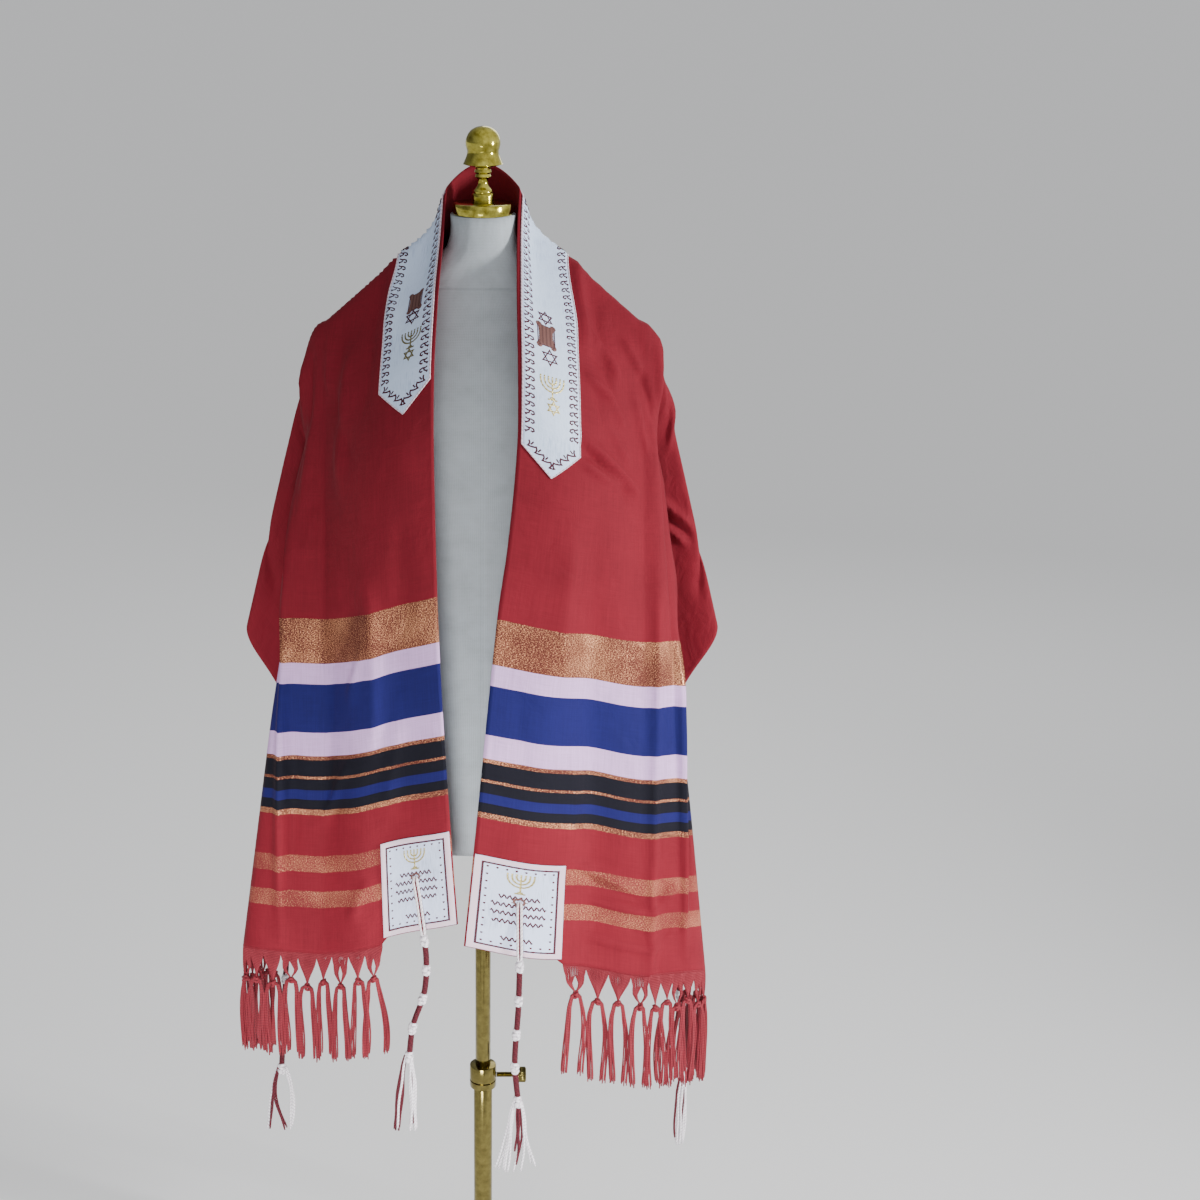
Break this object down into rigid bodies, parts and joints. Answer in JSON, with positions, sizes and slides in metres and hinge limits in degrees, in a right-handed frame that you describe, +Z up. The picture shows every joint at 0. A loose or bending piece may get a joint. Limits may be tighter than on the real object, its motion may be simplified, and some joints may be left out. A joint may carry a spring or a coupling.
{
  "type": "tallit prayer shawl on a limbless dress form with stand",
  "caption": "Striped red prayer shawl with pale neckband, corner patches, knotted corner tassels and end fringes, draped over a limbless dress form on a height-adjustable round-foot stand.",
  "frame": {"origin": "centre of the stand foot's underside", "axes": "+Z up along the pole, -Y to the wearer's front, +X to the viewer's right"},
  "size_m": [0.5675, 0.3114, 1.4976],
  "materials": {
    "red_cloth": "soft plain weave with woven stripes and metallic threads",
    "white_satin": "pale satin with a dark border repeat",
    "tassel_thread": "wound white and maroon thread",
    "linen": "matt pale linen cover",
    "brass": "polished"
  },
  "bodies": {
    "root": {"shawl_cloth": "red_cloth", "neckband": "white_satin", "patch_front_left": "white_satin", "patch_front_right": "white_satin", "patch_back_left": "white_satin", "patch_back_right": "white_satin", "tassel_front_left": "tassel_thread", "tassel_front_right": "tassel_thread", "tassel_back_left": "tassel_thread", "tassel_back_right": "tassel_thread", "fringe_left": "red_cloth", "fringe_right": "red_cloth", "form_body": "linen", "neck_cap": "brass", "neck_finial": "brass", "form_socket": "brass", "pole_upper": "brass", "pole_sleeve": "brass", "height_clamp": "brass", "clamp_screw": "brass", "stand_foot": "brass"}
  },
  "joints": []
}
